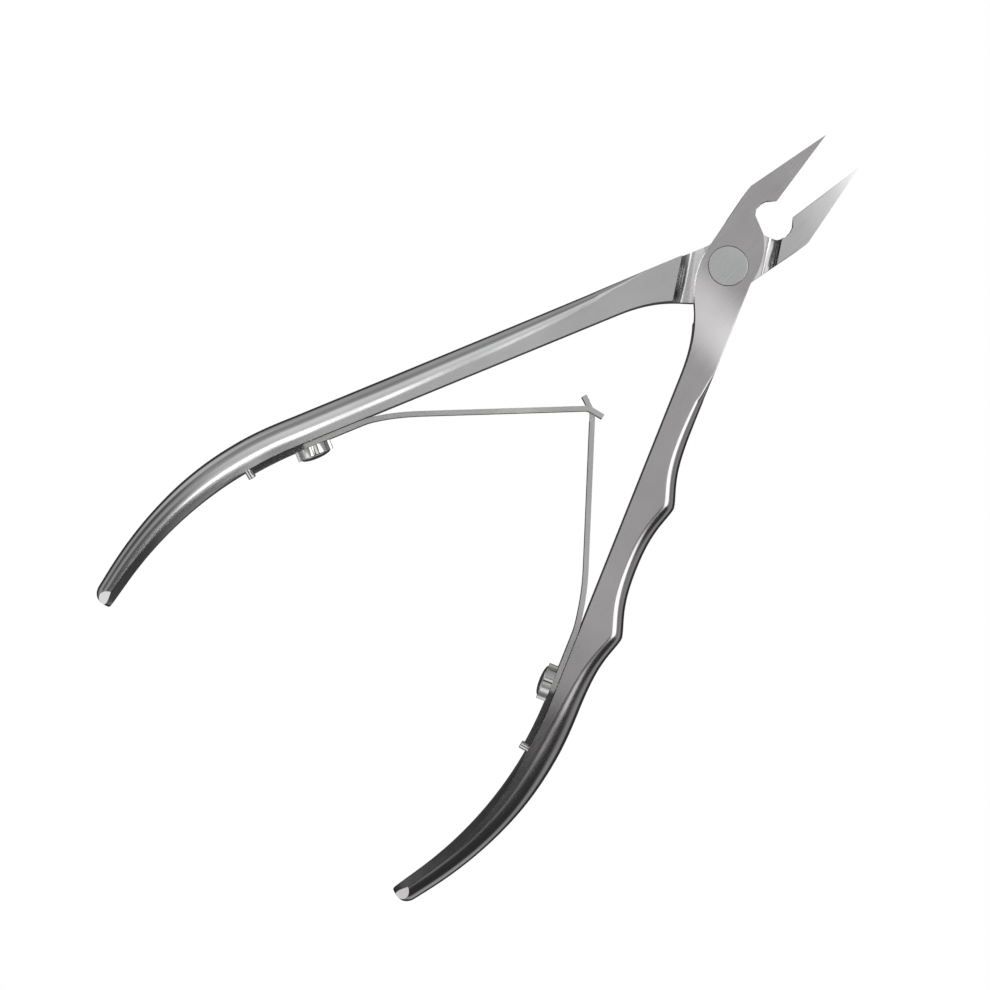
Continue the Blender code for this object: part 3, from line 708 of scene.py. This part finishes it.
turned_steel = satin_steel("turned_steel", "c6c8c7", "d0d2d1", 0.22, 33.0, (3.0, 0.16))
stud = add_piece(round_bar([(SCREW_SHANK_RADIUS + RUN_GAP, THREAD_END),
                            (SCREW_SHANK_RADIUS + RUN_GAP, SCREW_HEAD_DEPTH + SEAT_GAP),
                            (BARREL_RADIUS, SCREW_HEAD_DEPTH + SEAT_GAP),
                            (BARREL_RADIUS, THICKNESS - STUD_HEAD_DEPTH),
                            (STUD_HEAD_RADIUS, THICKNESS - STUD_HEAD_DEPTH),
                            (STUD_HEAD_RADIUS, THICKNESS)], segments=96), "pivot_stud_turned")
finish_edges(stud, STUD_EDGE, turned_steel)
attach(stud, LOWER.name)
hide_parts("pivot_stud")

screw = add_piece(round_bar([(SCREW_HEAD_RADIUS, 0.0), (SCREW_HEAD_RADIUS, SCREW_HEAD_DEPTH),
                             (SCREW_SHANK_RADIUS, SCREW_HEAD_DEPTH),
                             (SCREW_SHANK_RADIUS, SCREW_SHANK_END)], segments=96), "pivot_screw_slotted")
slot_side = SCREW_SLOT_WIDTH / 2
slot = [(-slot_side, -SPARE), (slot_side, -SPARE), (slot_side, SCREW_SLOT_DEPTH),
        (-slot_side, SCREW_SLOT_DEPTH)]
machine(screw, [prism(slot, (0.0, 0.0), turn((1.0, 0.0), SCREW_SLOT_TURN), SCREW_SLOT_LENGTH)])
finish_edges(screw, SCREW_EDGE, turned_steel)
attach(screw, LOWER.name)
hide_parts("pivot_screw")

# ---------------------------------------------------------------- leaf springs
# Two hardened strips stand on edge, each screwed flat inside a handle and forked at a pin.
# Each springs away from its handle, and their hooked ends catch: a T-shaped tongue in a slot.

LEAF_THICKNESS = 0.7
LEAF_WIDTH = 4.0
LEAF_SEAT = 0.06                 # between the leaf and its handle
LEAF_HINGE = 37.4                # along the inner edge, where the leaf starts to flex
LEAF_SPLIT = 0.12                # the gap there between the frame's two solids
LEAF_LIFT = 8.0                  # the blade's first direction, away from the handle
LEAF_FLEX = 1.6                  # to each side of the hinge
LEAF_EDGE = 0.08
CLAMPED_STEPS = 40
CLAMPED_LEAD = 0.7               # the clamped line ends this far before the hinge
SPRUNG_STEPS = 24
JOIN_STEPS = 5
BLEND_POINTS = 3                 # of the sprung line, replaced by a curve into it
TAIL_NOTCH = 1.5                 # width of the fork at the locating pin
TAIL_NOTCH_DEPTH = 0.2
TAIL_END = 0.5                   # before the pin's middle
TAIL_WIDTH = 2.2
TAPER_START = THUMB_PLACE + 1.2  # of the clamped tail, along the inner edge
LEAF_HOLE_GAP = 0.1
HOOK_EASE = 0.55                 # how far the hook's bend runs to each side of its corner
STRAIGHT_STEPS = 8
HOOK_STEPS = 8
HOOK_END_STEPS = 3

# Each leaf's middle line in plan: where it turns straight, its hook's corner, and its end.
SLOTTED_LEAF = ((-43.4, 15.25), (-26.95, -0.28), (-26.42, -2.45))
TONGUE_LEAF = ((-42.6, -15.3), (-26.95, -0.98), (-26.2, 1.42))
SLOT_WIDTH = 2.1
SLOT_PLACE = (-27.1, -0.05)
SLOT_ENDS = (-1.75, 1.6)
NECK_WIDTH = 1.5
NECK_PLACE = (-26.9, -0.1)
NECK_ENDS = (-1.5, 0.42)
HOOK_CUT_LENGTH = 3.0


def leaf_line(lever, u):
    """A plan point on the clamped leaf's middle line."""
    return tuple(on_handle(lever, u, LEAF_SEAT + LEAF_THICKNESS / 2).xy)


def leaf_path(lever, settle, bend_point, end_point):
    """The leaf's middle line: along its handle, away from it, and straight to the hook."""
    tail = PIN_PLACE - TAIL_END
    clamped = [leaf_line(lever, tail + (LEAF_HINGE + CLAMPED_LEAD - tail) * step / CLAMPED_STEPS)
               for step in range(CLAMPED_STEPS + 1)]
    bend = Vector(bend_point)
    aim = math.degrees(math.atan2(bend.y - settle[1], bend.x - settle[0]))
    sprung = smooth_run(leaf_line(lever, LEAF_HINGE - LEAF_SPLIT / 2),
                        -(lever.angle + LEAF_LIFT) * lever.side, settle, aim, SPRUNG_STEPS)[BLEND_POINTS:]
    leave = Vector(sprung[1]) - Vector(sprung[0])
    joined = smooth_run(clamped[-1], -lever.angle * lever.side, sprung[0],
                        math.degrees(math.atan2(leave.y, leave.x)), JOIN_STEPS)[1:-1]
    straight_end = bend - Vector(turn((HOOK_EASE, 0.0), aim))
    path = clamped + joined + sprung
    path += [tuple(Vector(settle).lerp(straight_end, step / STRAIGHT_STEPS))
             for step in range(1, STRAIGHT_STEPS + 1)]
    finish = Vector(end_point)
    last = math.degrees(math.atan2(finish.y - bend.y, finish.x - bend.x))
    hook_start = bend + Vector(turn((HOOK_EASE, 0.0), last))
    path += smooth_run(tuple(straight_end), aim, tuple(hook_start), last, HOOK_STEPS)[1:]
    return path + [tuple(hook_start.lerp(finish, step / HOOK_END_STEPS))
                   for step in range(1, HOOK_END_STEPS + 1)]


def leaf_strip(name, path):
    """A flat strip on edge along a plan path, narrowed towards the tail that the path starts at."""
    rings = []
    last = Vector(path[0])
    done = 0.0
    for index, point in enumerate(path):
        before, after = path[max(index - 1, 0)], path[min(index + 1, len(path) - 1)]
        along = (Vector(after) - Vector(before)).normalized()
        across = Vector((-along.y, along.x)) * (LEAF_THICKNESS / 2)
        left, right = Vector(point) + across, Vector(point) - across
        done += (Vector(point) - last).length
        last = Vector(point)
        taper = max(1.0 - done / (PIN_PLACE - TAIL_END - TAPER_START), 0.0)
        width = LEAF_WIDTH - (LEAF_WIDTH - TAIL_WIDTH) * taper
        low, high = MID - width / 2, MID + width / 2
        rings.append([(left.x, left.y, low), (right.x, right.y, low),
                      (right.x, right.y, high), (left.x, left.y, high)])
    return add_piece(loft(rings), name)


def box_outline(ends, low, high):
    """A prism's outline: a rectangle between two ends across and two heights."""
    return [(ends[0], low), (ends[1], low), (ends[1], high), (ends[0], high)]


def leaf_hole_cutters(lever):
    """The thumb screw's hole and the fork at the locating pin."""
    radius = THUMB_SHANK_RADIUS + LEAF_HOLE_GAP
    hole = round_bar([(radius, -SPARE / 2), (radius, 2 * SPARE)],
                     on_handle(lever, THUMB_PLACE, 0.0), inward(lever, THUMB_PLACE), segments=48)
    tail = PIN_PLACE - TAIL_END
    fork_end = on_handle(lever, tail + SPARE, 0.0).xy
    fork_root = on_handle(lever, tail - TAIL_NOTCH_DEPTH, 0.0).xy
    outline = box_outline((-2 * SPARE, 2 * SPARE), MID - TAIL_NOTCH / 2, MID + TAIL_NOTCH / 2)
    fork = prism(outline, (fork_end + fork_root) / 2, fork_end - fork_root, SPARE + TAIL_NOTCH_DEPTH)
    return [add_piece(hole, "cutter"), fork]


leaf_steel = satin_steel("rolled_spring_steel", "cacac9", "d8d8d7", 0.19, 0.0, (2.0, 0.12))
slotted_leaf = leaf_strip("slotted_leaf_spring", leaf_path(LOWER, *SLOTTED_LEAF))
hook_slot = prism(box_outline(SLOT_ENDS, MID - SLOT_WIDTH / 2, MID + SLOT_WIDTH / 2),
                  SLOT_PLACE, (1.0, 0.0), HOOK_CUT_LENGTH)
machine(slotted_leaf, [hook_slot, *leaf_hole_cutters(LOWER)])
tongue_leaf = leaf_strip("tongue_leaf_spring", leaf_path(UPPER, *TONGUE_LEAF))
neck_reach = (NECK_WIDTH / 2, 3 * SPARE)
neck_sides = [prism(box_outline(NECK_ENDS, MID + low, MID + high), NECK_PLACE, (1.0, 0.0), HOOK_CUT_LENGTH)
              for low, high in (neck_reach, (-neck_reach[1], -neck_reach[0]))]
machine(tongue_leaf, [*neck_sides, *leaf_hole_cutters(UPPER)])
for lever, piece, leaf in ((LOWER, slotted_leaf, "slotted_leaf"), (UPPER, tongue_leaf, "tongue_leaf")):
    finish_edges(piece, LEAF_EDGE, leaf_steel)
    flex = [Vector((*leaf_line(lever, LEAF_HINGE + reach), MID)) * MM for reach in (LEAF_FLEX, -LEAF_FLEX)]
    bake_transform(piece)
    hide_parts(leaf + "_foot", leaf + "_blade")

# ---------------------------------------------------------------- thumb screws and locating pins
# A plated thumb screw with a fluted, domed head clamps each leaf, and a plain round pin
# pressed into the handle stands at the leaf's fork and keeps it from turning.

THUMB_RADIUS = 2.55
THUMB_FLUTES = 6
FLUTE_RADIUS = 1.0
FLUTE_DEPTH = 0.42
THUMB_HEIGHT = 1.25
THUMB_DOME = 0.5
DOME_SHARE = 0.82                # of the head's radius
DOME_STEPS = 8
DOME_TIP_RADIUS = 0.02
THUMB_SHANK_LENGTH = 3.0
PIN_PROUD = 1.15
PLATED_EDGE = 0.12

plated_steel = satin_steel("nickel_plated_steel", "d2d2d2", "dededd", 0.14, 0.0, (1.2, 0.12))
for lever in (LOWER, UPPER):
    foot = on_handle(lever, THUMB_PLACE, LEAF_SEAT + LEAF_THICKNESS + SEAT_GAP)
    axis = inward(lever, THUMB_PLACE)
    dome = []
    for step in range(DOME_STEPS):
        angle = math.radians(90.0 * step / DOME_STEPS)
        dome.append((THUMB_RADIUS * DOME_SHARE * math.cos(angle),
                     THUMB_HEIGHT + THUMB_DOME * math.sin(angle)))
    head = round_bar([(THUMB_SHANK_RADIUS, -THUMB_SHANK_LENGTH), (THUMB_SHANK_RADIUS, 0.0),
                      (THUMB_RADIUS, 0.0), (THUMB_RADIUS, THUMB_HEIGHT), *dome,
                      (DOME_TIP_RADIUS, THUMB_HEIGHT + THUMB_DOME)], foot, axis, segments=72)
    thumb_screw = lever.name.replace("lever", "thumb_screw")
    piece = add_piece(head, thumb_screw + "_fluted")
    side = axis.cross(Vector((0.0, 0.0, 1.0)))
    flutes = []
    for step in range(THUMB_FLUTES):
        angle = math.tau * (step + 0.5) / THUMB_FLUTES
        spoke = side * math.cos(angle) + Vector((0.0, 0.0, 1.0)) * math.sin(angle)
        centre = foot + spoke * (THUMB_RADIUS - FLUTE_DEPTH + FLUTE_RADIUS)
        flute = round_bar([(FLUTE_RADIUS, -SPARE), (FLUTE_RADIUS, 3 * SPARE)], centre, axis, segments=32)
        flutes.append(add_piece(flute, "cutter"))
    machine(piece, flutes)
    finish_edges(piece, PLATED_EDGE, plated_steel)
    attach(piece, thumb_screw)
    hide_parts(thumb_screw)

    locating_pin = lever.name.replace("lever", "locating_pin")
    pin = add_piece(round_bar([(PIN_RADIUS, -PIN_DEPTH), (PIN_RADIUS, PIN_PROUD)],
                              on_handle(lever, PIN_PLACE, 0.0), inward(lever, PIN_PLACE), segments=32),
                    locating_pin + "_round")
    finish_edges(pin, PLATED_EDGE, plated_steel)
    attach(pin, lever.name)
    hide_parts(locating_pin)
